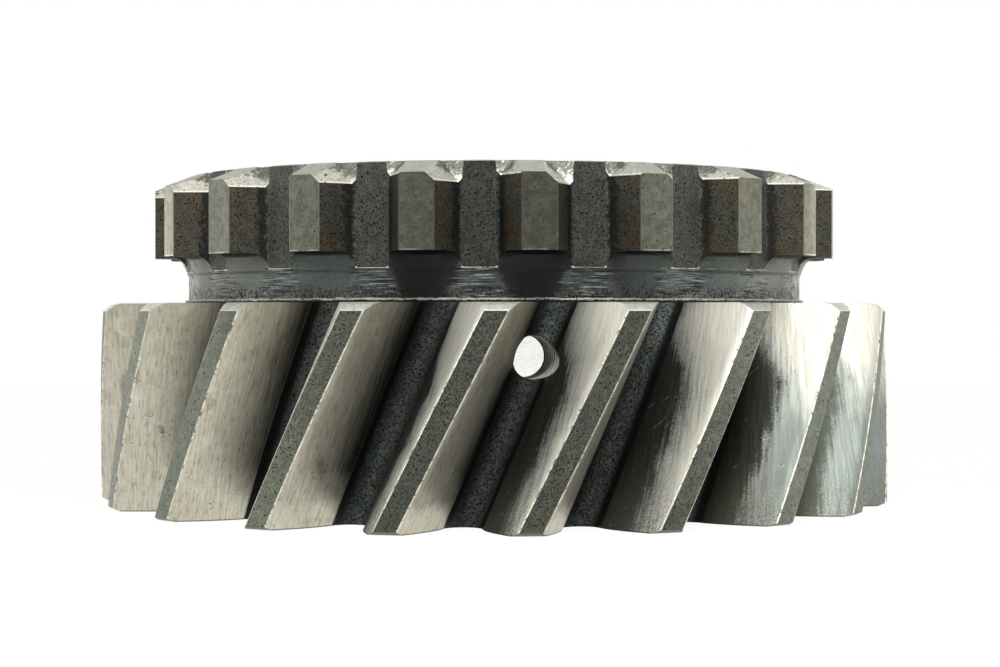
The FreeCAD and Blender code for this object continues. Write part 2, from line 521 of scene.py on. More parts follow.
collar_break = 0.06
shoulder_height = 0.45
shoulder_bottom = groove_top - shoulder_height
neck_profile = [(collar_radius, gear_width + collar_break),
                (collar_radius, collar_top - collar_break),
                (collar_radius - collar_break, collar_top), (neck_radius, collar_top + 0.02)]
neck_profile += [(neck_radius, z) for z in np.linspace(collar_top, shoulder_bottom, 13)[1:]]
step = land_radius - neck_radius
neck_profile += [(neck_radius + step * share ** 2 * (3 - 2 * share),
                  groove_top - shoulder_height * (1 - share))
                 for share in np.linspace(0, 1, 6)[1:]]
neck_profile += [(land_radius, ring_bottom - underside_fillet - 0.04)]
neck_foot, neck_head = revolve(neck_profile, 400, "neck")
collar_ring = at(collar_radius, collar_angles, gear_width)
zip_rings(collar_ring, neck_foot, "neck")
zip_rings(neck_head, unders[0], "neck")

wall_heights = np.linspace(bore_chamfer, part_top - bore_chamfer, 9)
bore_profile = [(mouth_radius, 0.0), *((bore_radius, z) for z in wall_heights),
                (mouth_radius, part_top)]
bore_low, bore_high = revolve(bore_profile, 256, "bore", flip=True)
lower_ring = at(face_start, lower_angles, 0.0)
zip_rings(lower_ring, bore_low, "gear face", flip=True)
zip_rings(bore_high, tops[-1], "ring top", flip=True)
print("faces:", len(quads), "points:", count_points())

# %% [markdown]
# ## From sheets to one closed body
# The sheets are welded where they meet. Then the oil hole is drilled through with a boolean,
# as a drill would do it, and its wall gets its own surface.

# %% Weld the sheets
weld_reach, thinnest_edge = 4e-6, 2e-6
gear_mesh = bpy.data.meshes.new("transmission gear")
gear_mesh.from_pydata((np.concatenate(points) / 1000).tolist(), [], quads)
gear = bpy.data.objects.new("worn_gear", gear_mesh)
bpy.context.scene.collection.objects.link(gear)
for name in surfaces:
    gear_mesh.materials.append(bpy.data.materials.new(name))
gear_mesh.polygons.foreach_set("material_index", quad_slots)

body = bmesh.new()
body.from_mesh(gear_mesh)
bmesh.ops.remove_doubles(body, verts=body.verts, dist=weld_reach)
bmesh.ops.dissolve_degenerate(body, edges=body.edges, dist=thinnest_edge)
bmesh.ops.recalc_face_normals(body, faces=body.faces)
open_edges = sum(1 for edge in body.edges if not edge.is_manifold)
print("welded:", len(body.verts), "points,", len(body.faces), "faces,", open_edges,
      "open edges, volume", round(body.calc_volume() * 1e9), "mm3")
body.to_mesh(gear_mesh)
body.free()

# %% Drill the oil hole
drill_length, drill_middle = 0.02, 0.0355
drill_angle = gear_turn + (oil_hole_height - gear_width) * twist + pitch_angle / 2
drill_way = Vector((math.sin(drill_angle), -math.cos(drill_angle), 0))
drill = bmesh.new()
bmesh.ops.create_cone(drill, cap_ends=True, segments=72, radius1=oil_hole_radius / 1000,
                      radius2=oil_hole_radius / 1000, depth=drill_length)
drill_mesh = bpy.data.meshes.new("drill")
drill.to_mesh(drill_mesh)
drill.free()
for name in surfaces:
    drill_mesh.materials.append(bpy.data.materials[name])
drill_mesh.polygons.foreach_set("material_index",
                                [slot_of["oil hole"]] * len(drill_mesh.polygons))
drill_body = bpy.data.objects.new("drill", drill_mesh)
bpy.context.scene.collection.objects.link(drill_body)
drill_body.rotation_mode = "QUATERNION"
drill_body.rotation_quaternion = drill_way.to_track_quat("Z", "Y")
drill_body.location = drill_way * drill_middle + Vector((0, 0, oil_hole_height / 1000))
bpy.context.view_layer.update()

cutting = gear.modifiers.new("oil hole", "BOOLEAN")
cutting.object = drill_body
cutting.operation = "DIFFERENCE"
cutting.solver = "MANIFOLD"
graph = bpy.context.evaluated_depsgraph_get()
drilled = bpy.data.meshes.new_from_object(gear.evaluated_get(graph))
gear.modifiers.clear()
gear.data = drilled
bpy.data.objects.remove(drill_body)
drilled.name = "worn transmission gear"
drilled.shade_smooth()
drilled.set_sharp_from_angle(angle=math.radians(28))
drilled.calc_loop_triangles()
used = np.bincount([polygon.material_index for polygon in drilled.polygons],
                   minlength=len(surfaces))
print("drilled:", len(drilled.loop_triangles), "triangles;",
      {name: int(used[slot]) for name, slot in slot_of.items()})

# %% Hand the gear over to the frame
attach(gear, "root")
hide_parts("transmission_gear")
print(gear.name, "stands in for the packed solid")

# %% [markdown]
# ## Drawing with nodes
# A material is a small network. These helpers put a node down, join it to others and give
# back its output, so that each finish can be written as a few plain lines. Colours are laid
# on as a painter does it: coat after coat, each through a mask.

# %% Node helpers
def link(tree, value, socket):
    """Set a socket to a number or a colour, or join it to the output of another node."""
    if isinstance(value, bpy.types.NodeSocket):
        tree.links.new(value, socket)
    else:
        socket.default_value = value


def put(tree, kind, inputs=None, **settings):
    """Add a node. Its inputs are numbers, colours or the outputs of other nodes."""
    node = tree.nodes.new(kind)
    for key, value in settings.items():
        setattr(node, key, value)
    for key, value in (inputs or {}).items():
        link(tree, value, node.inputs[key])
    return node


def calc(tree, operation, *values):
    return put(tree, "ShaderNodeMath", dict(enumerate(values)), operation=operation).outputs[0]


def times(tree, first, second):
    return calc(tree, "MULTIPLY", first, second)


def minus(tree, first, second):
    return calc(tree, "SUBTRACT", first, second)


def fade(tree, value, low, high, start=0.0, end=1.0):
    """A soft step: start where the value is low, end where it is high."""
    wanted = {"Value": value, "From Min": low, "From Max": high, "To Min": start, "To Max": end}
    return put(tree, "ShaderNodeMapRange", wanted, interpolation_type="SMOOTHSTEP").outputs[0]


def grain(tree, place, scale, detail=3.0, rough=0.6):
    wanted = {"Vector": place, "Scale": scale, "Detail": detail, "Roughness": rough}
    return put(tree, "ShaderNodeTexNoise", wanted).outputs["Fac"]


def wander(tree, value, noise_value, reach):
    """Shift a value by a noise, by up to half the reach to either side."""
    return calc(tree, "MULTIPLY_ADD", minus(tree, noise_value, 0.5), reach, value)


def split(tree, place):
    return put(tree, "ShaderNodeSeparateXYZ", {0: place}).outputs


def join(tree, x=0.0, y=0.0, z=0.0):
    return put(tree, "ShaderNodeCombineXYZ", {0: x, 1: y, 2: z}).outputs[0]


# %% Colour helpers
def colour(red, green, blue):
    """A colour as it is picked on a screen, 0 to 255, made linear."""
    parts = [value / 255 for value in (red, green, blue)]
    return [p / 12.92 if p < 0.04045 else ((p + 0.055) / 1.055) ** 2.4 for p in parts] + [1.0]


def tint(tree, factor, first, second, mode="MIX"):
    """Mix two linear colours."""
    node = put(tree, "ShaderNodeMix", {"Factor": factor}, data_type="RGBA", blend_type=mode)
    link(tree, first, node.inputs[6])
    link(tree, second, node.inputs[7])
    return node.outputs[2]


def shades(tree, share, dark, light):
    """A colour that runs from one picked colour to another as the share goes from 0 to 1."""
    return tint(tree, share, colour(*dark), colour(*light))


def coats(tree, skin, *layers):
    """Lay picked colours over the skin, one after another. A layer is a mask and a colour."""
    for mask, shade in layers:
        skin = tint(tree, mask, skin, colour(*shade))
    return skin


def gain(tree, skin, amount):
    """Make a colour lighter or darker. Amount is a number or an output."""
    return put(tree, "ShaderNodeHueSaturation", {"Color": skin, "Value": amount}).outputs[0]


print("middle grey in linear light:", [round(part, 3) for part in colour(128, 128, 128)])


# %% Group helpers
def new_group(name, inputs, outputs):
    """A node group of numbers. A socket whose name ends in 'place' holds a place instead."""
    tree = bpy.data.node_groups.new(name, "ShaderNodeTree")
    for way, titles in (("INPUT", inputs), ("OUTPUT", outputs)):
        for title in titles:
            kind = "NodeSocketVector" if title.endswith("place") else "NodeSocketFloat"
            socket = tree.interface.new_socket(name=title, in_out=way, socket_type=kind)
            if way == "INPUT" and inputs[title] is not None:
                socket.default_value = inputs[title]
    return tree, tree.nodes.new("NodeGroupInput").outputs, tree.nodes.new("NodeGroupOutput")


def give(tree, out, results):
    """Join the results of a group to its outputs, by their titles."""
    for title, value in results.items():
        tree.links.new(value, out.inputs[title])
    print("group:", tree.name, "with", len(tree.nodes), "nodes gives", list(results))


def use(tree, group, **values):
    """Place a group in a material, with its own values, and give back its outputs."""
    wanted = {key.replace("_", " "): value for key, value in values.items()}
    return put(tree, "ShaderNodeGroup", wanted, node_tree=group).outputs


# %% [markdown]
# ## Where a spot lies on the gear
# Most wear follows the gear's own shape: grime sits deep in the roots, and each tooth has
# met its mate in its own way. This group turns a place into the distance from the axis, the
# height, how far the spot has turned to one side, and the number of its helical tooth and of
# its clutch tooth. Flank place unrolls a helical tooth, so that grinding lines can run along
# it.

# %% Group: place on the gear
flank_spacing = 5.3
gear_place, _, out = new_group("place on the gear", {},
                               ["Radius", "Height", "Angle", "Side", "Tooth", "Across",
                                "Clutch tooth", "Clutch across", "Round place", "Flank place"])
tree = gear_place
mm = put(tree, "ShaderNodeVectorMath", {0: put(tree, "ShaderNodeTexCoord").outputs["Object"],
                                        "Scale": 1000.0}, operation="SCALE").outputs[0]
x, y, z = split(tree, mm)
radius = calc(tree, "SQRT", calc(tree, "MULTIPLY_ADD", x, x, times(tree, y, y)))
angle = calc(tree, "ARCTAN2", x, times(tree, y, -1.0))
lean = times(tree, minus(tree, z, gear_width), twist)


def count_pitches(turned):
    """Pitches passed at an angle. The middle of a tooth lies half way between two counts."""
    return calc(tree, "ADD", calc(tree, "DIVIDE", turned, pitch_angle), teeth + 0.5)


def from_tooth(pitches):
    """How far a spot lies from the middle of its tooth, in pitches."""
    return minus(tree, calc(tree, "FRACT", pitches), 0.5)


pitches = count_pitches(minus(tree, minus(tree, angle, lean), gear_turn))
clutch_pitches = count_pitches(minus(tree, angle, clutch_turn))
tooth_number = calc(tree, "FLOOR", pitches)
give(tree, out, {
    "Radius": radius, "Height": z, "Angle": angle,
    "Side": calc(tree, "ABSOLUTE", calc(tree, "DIVIDE", x, radius)),
    "Tooth": tooth_number, "Across": from_tooth(pitches),
    "Clutch tooth": calc(tree, "FLOOR", clutch_pitches),
    "Clutch across": from_tooth(clutch_pitches), "Round place": mm,
    "Flank place": join(tree, radius, times(tree, tooth_number, flank_spacing), z)})

# %% [markdown]
# ## Pits, streaks, stains and knocks
# Used steel is never even. Pits are small holes where the skin has flaked: a few round ones
# in a pattern of cells, with fine dark speckle between them. Streaks are the fine lines of
# grinding. Stains are brown, soft and rare. A knock is one mark at one place: a small curved
# nick, or a smudge. All of them are drawn from fixed noise, so they are the same every time.

# %% Group: pits
pits, given, out = new_group("pits", {"Scale": 3.0, "Amount": 0.5, "Softness": 0.06},
                             ["Pits", "Mottle", "Sand"])
place = use(pits, gear_place)["Round place"]
fine = grain(pits, place, given["Scale"], 3.0, 0.65)
coarse = grain(pits, place, times(pits, given["Scale"], 0.23), 4.0, 0.7)
sand = grain(pits, place, times(pits, given["Scale"], 2.1), 2.0, 0.7)
cells = put(pits, "ShaderNodeTexVoronoi",
            {"Vector": place, "Scale": times(pits, given["Scale"], 0.7)}).outputs
lot = split(pits, cells["Color"])[0]
size = fade(pits, lot, minus(pits, 1.0, given["Amount"]), 1.1, 0.0, 0.56)
size = times(pits, size, fade(pits, coarse, 0.36, 0.6, 0.45, 1.0))
edge = minus(pits, wander(pits, cells["Distance"], fine, 0.8), size)
holes = fade(pits, edge, -0.12, 0.0, 1.0, 0.0)
level = calc(pits, "MULTIPLY_ADD", given["Amount"], -0.3, 0.78)
speckle = fade(pits, fine, level, calc(pits, "ADD", level, given["Softness"]), 0.0, 0.8)
give(pits, out, {"Pits": calc(pits, "MAXIMUM", holes, speckle),
                 "Mottle": fade(pits, coarse, 0.32, 0.68), "Sand": fade(pits, sand, 0.3, 0.7)})

# %% Group: streaks
streaks, given, out = new_group("streaks", {"Line place": None, "Scale": 3.0, "Stretch": 0.07,
                                            "Lean": 0.0}, ["Streak", "Fine"])
x, y, z = split(streaks, given["Line place"])
long = join(streaks, calc(streaks, "MULTIPLY_ADD", z, given["Lean"], x), y,
            times(streaks, z, given["Stretch"]))
broad = grain(streaks, long, given["Scale"], 3.0, 0.7)
fine = grain(streaks, long, times(streaks, given["Scale"], 2.7), 2.0, 0.6)
give(streaks, out, {"Streak": fade(streaks, broad, 0.3, 0.7),
                    "Fine": fade(streaks, fine, 0.3, 0.7)})

# %% Group: stains
stains, given, out = new_group("stains", {"Scale": 0.22, "Amount": 0.4}, ["Stain"])
place = use(stains, gear_place)["Round place"]
tall = put(stains, "ShaderNodeVectorMath", {0: place, 1: (1.0, 1.0, 0.5)},
           operation="MULTIPLY").outputs[0]
spread = grain(stains, tall, given["Scale"], 5.0, 0.72)
level = calc(stains, "MULTIPLY_ADD", given["Amount"], -0.3, 0.72)
give(stains, out, {"Stain": fade(stains, spread, level, calc(stains, "ADD", level, 0.12))})

# %% Group: knocks
knocks, given, out = new_group("knocks", {"X": 0.0, "Z": 0.0, "Size": 0.6}, ["Nick", "Smudge"])
place = use(knocks, gear_place)["Round place"]
x, y, z = split(knocks, place)
right, rise = minus(knocks, x, given["X"]), minus(knocks, z, given["Z"])
front = fade(knocks, y, -6.0, -2.0, 1.0, 0.0)

away = calc(knocks, "SQRT", calc(knocks, "MULTIPLY_ADD", right, right,
                                 times(knocks, rise, rise)))
uneven = wander(knocks, away, grain(knocks, place, 1.3, 3.0), 0.9)
arc = times(knocks, calc(knocks, "COMPARE", uneven, given["Size"], 0.055),
            calc(knocks, "LESS_THAN", rise, times(knocks, given["Size"], -0.4)))

slim = calc(knocks, "SQRT", calc(knocks, "MULTIPLY_ADD", times(knocks, right, 3.0), right,
                                 times(knocks, times(knocks, rise, 0.4), rise)))
ragged = calc(knocks, "DIVIDE", wander(knocks, slim, grain(knocks, place, 2.2, 4.0, 0.8), 2.4),
              given["Size"])
give(knocks, out, {"Nick": times(knocks, arc, front),
                   "Smudge": times(knocks, fade(knocks, ragged, 0.2, 1.0, 1.0, 0.0), front)})


# %% [markdown]
# ## Finishes
# Each machined surface gets its own steel. A finish starts from one place group, colours the
# skin with streaks, pits and stains, and ends on the shader. Bright ground faces are bare
# metal. The dark ones carry an oxide skin, so they are only partly metal and duller.

# %% Start and end of a finish
def open_finish(name):
    """The node tree and the shader of a surface's material, and where a spot lies on it."""
    print("finish:", name, end=", ")
    material = bpy.data.materials[name]
    material.use_nodes = True
    tree = material.node_tree
    return tree, tree.nodes["Principled BSDF"], use(tree, gear_place)


def close_finish(tree, shader, base, rough, metal, height, depth):
    """Join colour, roughness and height to the shader. Depth is in millimetres."""
    for title, value in (("Base Color", base), ("Roughness", rough), ("Metallic", metal)):
        link(tree, value, shader.inputs[title])
    bump = put(tree, "ShaderNodeBump", {"Height": height, "Strength": 1.0,
                                        "Distance": depth / 1000})
    tree.links.new(bump.outputs[0], shader.inputs["Normal"])
    print(len(tree.nodes), "nodes")


# %% Marks at chosen places
def marked(tree, skin, spots, kind, shade, strength):
    """Add knocks of one kind, each given as (x, z, size) in millimetres."""
    for x, z, size in spots:
        mark = use(tree, knocks, X=x, Z=z, Size=size)[kind]
        skin = coats(tree, skin, (times(tree, mark, strength), shade))
    return skin


def nicked(tree, skin, nicks, dark, light):
    """Add curved nicks: a dark arc with a bright lip just below it."""
    skin = marked(tree, skin, nicks, "Nick", dark, 0.7)
    lips = [(x, z - 0.09, size) for x, z, size in nicks]
    return marked(tree, skin, lips, "Nick", light, 0.5)


# %% [markdown]
# The drive flanks are the ones that push. They are worn to a warm pale grey with fine
# upright streaks and a few brown stains, and darken towards the root with oil and painted
# shade, deeper at the front. At the lower end they are wiped clean. A few knocks sit where
# other parts have hit them.

# %% Drive flanks: streaks, clouds and stains
tree, shader, spot = open_finish("drive flank")
place, reach, height = spot["Round place"], spot["Radius"], spot["Height"]
side, flank = spot["Side"], spot["Flank place"]
lines = use(tree, streaks, Line_place=flank, Scale=5.2, Stretch=0.05, Lean=-0.12)
streak, fine = lines["Streak"], lines["Fine"]
dashes = use(tree, streaks, Line_place=flank, Scale=1.5, Stretch=0.22, Lean=-0.12)["Fine"]
cloud = grain(tree, place, 0.45, 4.0, 0.7)
brown = use(tree, stains, Scale=0.42, Amount=0.4)["Stain"]
specks = use(tree, pits, Scale=3.6, Amount=0.3)["Pits"]

skin = shades(tree, streak, (180, 176, 157), (203, 199, 182))
skin = coats(tree, skin,
             (fade(tree, fine, 0.55, 1.0, 0.0, 0.35), (226, 222, 205)),
             (fade(tree, fine, 0.0, 0.4, 0.26, 0.0), (124, 118, 99)),
             (fade(tree, dashes, 0.78, 1.0, 0.0, 0.4), (112, 98, 76)),
             (fade(tree, cloud, 0.5, 0.7, 0.0, 0.35), (158, 148, 126)),
             (fade(tree, cloud, 0.3, 0.46, 0.5, 0.0), (214, 212, 200)),
             (times(tree, brown, 0.55), (136, 112, 86)),
             (fade(tree, wander(tree, height, cloud, 14.0), 13.0, 24.0, 0.0, 0.35),
              (150, 142, 120)),
             (times(tree, specks, 0.4), (98, 90, 72)))

# %% Drive flanks: oil and painted shade near the root, and the wiped lower end
low_part = wander(tree, height, cloud, 1.6)
wiped = fade(tree, low_part, 1.6, 5.6, 1.0, 0.0)
# Oil and painted shade: dark towards the root, and reaching further up the flank at the front.
depth = wander(tree, wander(tree, reach, cloud, 1.6), streak, 0.9)
depth = minus(tree, depth, fade(tree, side, 0.42, 0.72, 1.5, 0.0))
depth = calc(tree, "ADD", depth, fade(tree, low_part, 1.6, 6.4, 6.0, 0.0))
oil = shades(tree, streak, (38, 39, 33), (74, 73, 61))
oil = coats(tree, oil, (fade(tree, reach, 35.0, 37.4, 0.75, 0.0), (20, 21, 18)))
skin = tint(tree, fade(tree, depth, 36.2, 40.8), oil, skin)
# Painted shade: the flank is darker at the front, except where it is wiped.
skin = gain(tree, skin, calc(tree, "MAXIMUM", fade(tree, side, 0.3, 0.62, 0.64, 1.0), wiped))
seam = times(tree, calc(tree, "COMPARE", reach, base_radius + 0.12, 0.07),
             fade(tree, height, 1.0, 7.0, 0.9, 0.45))
lower_rim = fade(tree, height, 0.07, 0.18, 0.75, 0.0)
skin = coats(tree, skin, (seam, (150, 155, 150)), (lower_rim, (66, 66, 56)))

# %% Drive flanks: knocks and shader
smudges = [(-37.6, 15.2, 1.0), (-27.2, 18.5, 0.8), (-17.1, 6.3, 1.1), (-35.2, 9.0, 0.6),
           (-41.0, 13.0, 1.6)]
nicks = [(-36.5, 10.9, 0.55), (-35.1, 8.9, 0.3), (-38.6, 7.9, 0.35), (-26.5, 3.4, 0.3),
         (-29.0, 2.2, 0.25)]
skin = marked(tree, skin, smudges, "Smudge", (104, 78, 58), 0.6)
skin = nicked(tree, skin, nicks, (52, 50, 42), (232, 230, 214))
relief = minus(tree, times(tree, fine, 0.6), specks)
close_finish(tree, shader, skin, fade(tree, streak, 0, 1, 0.48, 0.36), 0.75, relief, 0.008)

# %% [markdown]
# The coast flanks carry the load only when the car slows, so they stay smoother. Their upper
# part is nearly a mirror. Below, a dark film reaches out from the root, and its border climbs
# like a flame and breaks up into specks.

# %% Coast flanks: where the film ends
tree, shader, spot = open_finish("coast flank")
place, reach, height = spot["Round place"], spot["Radius"], spot["Height"]
side, flank = spot["Side"], spot["Flank place"]
lines = use(tree, streaks, Line_place=flank, Scale=4.0, Stretch=0.06, Lean=0.26)
streak, fine = lines["Streak"], lines["Fine"]
sand = grain(tree, place, 5.5, 3.0, 0.75)
cloud = grain(tree, place, 0.32, 4.0, 0.65)
# Painted light by side: the film reaches further at the front, and the film and its border are
# lighter towards the far sides.
far = fade(tree, side, 0.62, 0.93)
film_edge = calc(tree, "ADD", fade(tree, height, 13.0, 21.3, 41.7, 36.6),
                 fade(tree, side, 0.2, 0.45, 0.8, 0.0))
film_edge = wander(tree, wander(tree, film_edge, cloud, 2.6), sand, 3.0)
beyond = minus(tree, wander(tree, reach, streak, 0.8), film_edge)

# %% Coast flanks: film, border and bright steel
film = shades(tree, streak, (38, 40, 35), (62, 64, 55))
film = coats(tree, film, (fade(tree, height, 1.0, 9.0, 0.4, 0.0), (84, 85, 72)),
             (far, (96, 102, 92)))
border = shades(tree, streak, (118, 122, 115), (152, 157, 151))
border = coats(tree, border, (far, (126, 133, 127)))
bright = shades(tree, streak, (182, 180, 167), (204, 203, 192))
bright = coats(tree, bright, (fade(tree, fine, 0.0, 0.4, 0.22, 0.0), (166, 162, 146)))
bright = gain(tree, bright, fade(tree, side, 0.55, 0.85, 1.0, 0.9))
cool = times(tree, fade(tree, wander(tree, height, cloud, 5.0), 8.0, 19.0, 1.0, 0.0),
             fade(tree, side, 0.45, 0.7))
bright = tint(tree, cool, bright, shades(tree, streak, (112, 119, 113), (126, 133, 127)))
skin = tint(tree, fade(tree, beyond, -0.6, 0.8), film, border)
skin = tint(tree, fade(tree, beyond, 0.2, 2.6), skin, bright)

# %% Coast flanks: grime, nicks and scratches
grime = times(tree, fade(tree, height, 0.0, 7.0, 0.75, 0.0), fade(tree, sand, 0.4, 0.6))
lower_rim = fade(tree, height, 0.07, 0.18, 0.75, 0.0)
specks = use(tree, pits, Scale=5.0, Amount=0.26)["Pits"]
skin = coats(tree, skin, (grime, (84, 85, 74)), (lower_rim, (66, 66, 56)),
             (times(tree, specks, 0.35), (70, 70, 60)))
skin = nicked(tree, skin, [(29.0, 6.4, 0.3), (27.7, 9.0, 0.3), (25.0, 14.5, 0.4)],
              (40, 42, 36), (210, 212, 204))
x, y, z = split(tree, place)
slanted = join(tree, calc(tree, "MULTIPLY_ADD", z, -1.1, x), times(tree, y, 0.3),
               calc(tree, "MULTIPLY_ADD", x, 0.1, times(tree, z, 0.1)))
scratch = times(tree, fade(tree, grain(tree, slanted, 2.6, 3.0, 0.7), 0.62, 0.68),
                fade(tree, cloud, 0.46, 0.56))
skin = coats(tree, skin, (times(tree, scratch, 0.3), (196, 198, 188)))
relief = minus(tree, times(tree, fine, 0.3),
               calc(tree, "ADD", times(tree, specks, 0.5), scratch))
close_finish(tree, shader, skin, fade(tree, streak, 0, 1, 0.58, 0.5), 0.8, relief, 0.014)

# %% [markdown]
# The tip lands, the roots and the clutch ring were never ground. They keep the dark skin of
# the heat treatment, full of small pits. One recipe with other colours serves them all.
# Their colour carries a painted reflection: darker at the front of the gear and lighter towards
# its sides.

# %% Dark, pitted surfaces
def pitted(name, low, high, pit, pit_scale, amount, shade=(0, 1, 1, 1), rust=None, rusting=0.0,
           shape=None, uneven_by=None):
    """A mottled oxide skin with dark pits, and rust where it is given.

    Amount is that of the pits at the front and at the sides. Shade is a painted reflection that
    lightens the skin to the sides: from where, to where, how light before and how light after.
    Shape is a function that adds to the skin, and uneven_by names the tooth number that it varies
    with.
    """
    tree, shader, spot = open_finish(name)
    marks = use(tree, pits, Scale=pit_scale, Softness=0.12,
                Amount=fade(tree, spot["Side"], 0.3, 0.75, *amount))
    skin = shades(tree, marks["Mottle"], low, high)
    sandy = [min(255, value + 60) for value in high]
    skin = coats(tree, skin, (times(tree, marks["Sand"], 0.28), sandy))
    if rust:
        spread = use(tree, stains, Scale=0.45, Amount=rusting)["Stain"]
        skin = coats(tree, skin, (times(tree, spread, 0.6), rust))
    if shape:
        skin = shape(tree, spot, skin)
    if uneven_by:
        number = put(tree, "ShaderNodeTexWhiteNoise", {"W": spot[uneven_by]},
                     noise_dimensions="1D").outputs["Value"]
        skin = gain(tree, skin, fade(tree, number, 0, 1, 0.86, 1.16))
    # Painted reflection: the skin is lighter towards the sides and darker at the front.
    skin = gain(tree, skin, fade(tree, spot["Side"], *shade))
    skin = coats(tree, skin, (marks["Pits"], pit))
    relief = minus(tree, times(tree, marks["Sand"], 0.5), marks["Pits"])
    close_finish(tree, shader, skin, 0.42, 0.8, relief, 0.03)


# %% What is special about roots, clutch lands and corners
def root_bands(tree, spot, skin):
    """Oil and painted shade blacken the root beside a drive flank, and the root darkens in a thin
    line beside a coast flank.
    """
    band = fade(tree, spot["Across"], 0.41, 0.485, 0.7, 0.0)
    band = times(tree, band, calc(tree, "GREATER_THAN", spot["Across"], 0.0))
    # Painted shade: the band is deepest at the front and low down.
    front = fade(tree, spot["Side"], 0.2, 0.45, 0.7, 0.0)
    low = fade(tree, spot["Height"], 3.0, 14.0, 0.8, 0.1)
    band = times(tree, band, calc(tree, "MAXIMUM", front, low))
    line = fade(tree, spot["Radius"], 36.3, 36.8, 0.0, 0.9)
    return coats(tree, skin, (band, (34, 38, 36)), (line, (18, 20, 18)))


def painted_sheen_and_worn_edge(tree, spot, skin):
    """A painted reflection lights the lands at the far left and right, and the lower edge is
    rubbed nearly bare.
    """
    line = calc(tree, "COMPARE", spot["Height"], ring_bottom + 0.07, 0.07)
    broken = fade(tree, grain(tree, spot["Round place"], 0.9, 3.0), 0.42, 0.5, 0.0, 0.55)
    skin = coats(tree, skin, (times(tree, line, broken), (214, 214, 200)))
    # Painted reflection: the lands at the far left and right are made much lighter.
    return gain(tree, skin, fade(tree, spot["Side"], 0.8, 0.95, 1.0, 3.1))


def from_gap(tree, spot):
    """How far a spot lies from the middle of a gap of the clutch ring, in pitches."""
    return minus(tree, 0.5, calc(tree, "ABSOLUTE", spot["Clutch across"]))


def dark_corners(tree, spot, skin):
    """The corners between a clutch tooth and the floor are black, with a torn edge."""
    torn = grain(tree, spot["Round place"], 1.7, 5.0, 0.8)
    away = calc(tree, "ABSOLUTE", minus(tree, wander(tree, from_gap(tree, spot), torn, 0.16), 0.2))
    return coats(tree, skin, (fade(tree, away, 0.012, 0.04, 0.85, 0.0), (24, 26, 23)))


# %% Put the dark skin on five surfaces
pitted("tooth land", (84, 88, 77), (116, 119, 104), (32, 34, 28), 5.2, (1.0, 0.65),
       shade=(0.3, 0.72, 0.54, 1.22), uneven_by="Tooth")
pitted("tooth root", (52, 57, 53), (80, 86, 80), (18, 20, 18), 4.4, (1.1, 0.95),
       shade=(0.15, 0.5, 0.74, 1.0), shape=root_bands)
pitted("clutch land", (78, 78, 65), (118, 118, 103), (56, 54, 44), 5.0, (0.6, 0.3),
       shade=(0.15, 0.6, 0.38, 0.96), rust=(108, 90, 66), rusting=0.3, shape=painted_sheen_and_worn_edge,
       uneven_by="Clutch tooth")
pitted("clutch flank", (43, 43, 36), (69, 67, 56), (18, 16, 12), 4.8, (1.0, 0.9),
       rust=(86, 69, 48), rusting=0.8, shape=dark_corners)
pitted("clutch floor", (56, 60, 54), (88, 91, 84), (24, 26, 23), 4.6, (0.97, 0.9),
       shade=(0.12, 0.45, 0.5, 0.85), shape=dark_corners)

# %% [markdown]
# Edges, chamfers and sharpened ends are where other steel has rubbed. They are bright, with
# coarse scratches, and the thin edges break off where dirt has stayed. The upright edges of
# the clutch teeth were not rubbed, so they keep the dark skin. The end faces were turned, so
# their lines run round the axis.

# %% Bright rubbed surfaces
def rubbed(name, low, high, dirt, dirt_amount, rough, depth=0.02, shape=None, scale=1.8,
           turned=False):
    """Bright steel with dirt. Where it was turned on a lathe, its lines run round the axis."""
    tree, shader, spot = open_finish(name)
    if turned:
        round_axis = join(tree, spot["Radius"], spot["Height"], times(tree, spot["Angle"], 35.0))
        lines = use(tree, streaks, Line_place=round_axis, Scale=scale, Stretch=0.04)
    else:
        lines = use(tree, streaks, Line_place=spot["Round place"], Scale=scale, Stretch=0.45)
    skin = shades(tree, lines["Streak"], low, high)
    if shape:
        skin = shape(tree, spot, skin)
    marks = use(tree, pits, Scale=scale, Amount=dirt_amount, Softness=0.1)
    skin = coats(tree, skin, (marks["Pits"], dirt))
    close_finish(tree, shader, skin, rough, 0.85, minus(tree, lines["Fine"], marks["Pits"]), depth)


# %% What is special about edges, chamfers and facets
def edge_wear_and_shade(tree, spot, skin):
    """Bright on the helical teeth, where it breaks up a little, and dull on the clutch teeth, with
    painted shade that makes the dull edges darker at the front.
    """
    whole = fade(tree, grain(tree, spot["Round place"], 1.6, 4.0, 0.75), 0.36, 0.5)
    skin = tint(tree, whole, colour(112, 112, 98), skin)
    # Painted shade: the dull clutch edges are darker at the front than at the sides.
    dull = gain(tree, colour(122, 121, 106), fade(tree, spot["Side"], 0.15, 0.6, 0.42, 1.0))
    return tint(tree, fade(tree, spot["Height"], 25.0, 26.0), skin, dull)


def bright_rim(tree, spot, skin):
    """A bright line where the chamfer meets the tip land, and a painted highlight at the front.
    The lower chamfer is dark.
    """
    height = spot["Height"]
    line = calc(tree, "COMPARE", height, gear_width - upper_chamfer_height + 0.05, 0.07)
    skin = coats(tree, skin, (times(tree, line, 0.7), (240, 239, 226)))
    # Painted highlight: the chamfers are lighter at the front.
    skin = gain(tree, skin, fade(tree, spot["Side"], 0.25, 0.6, 1.25, 1.0))
    duller_ring = shades(tree, fade(tree, height, 25.0, 26.0), (255, 255, 255), (214, 214, 210))
    skin = tint(tree, 1.0, skin, duller_ring, "MULTIPLY")
    return coats(tree, skin, (fade(tree, height, 1.0, 2.0, 1.0, 0.0), (96, 100, 88)))


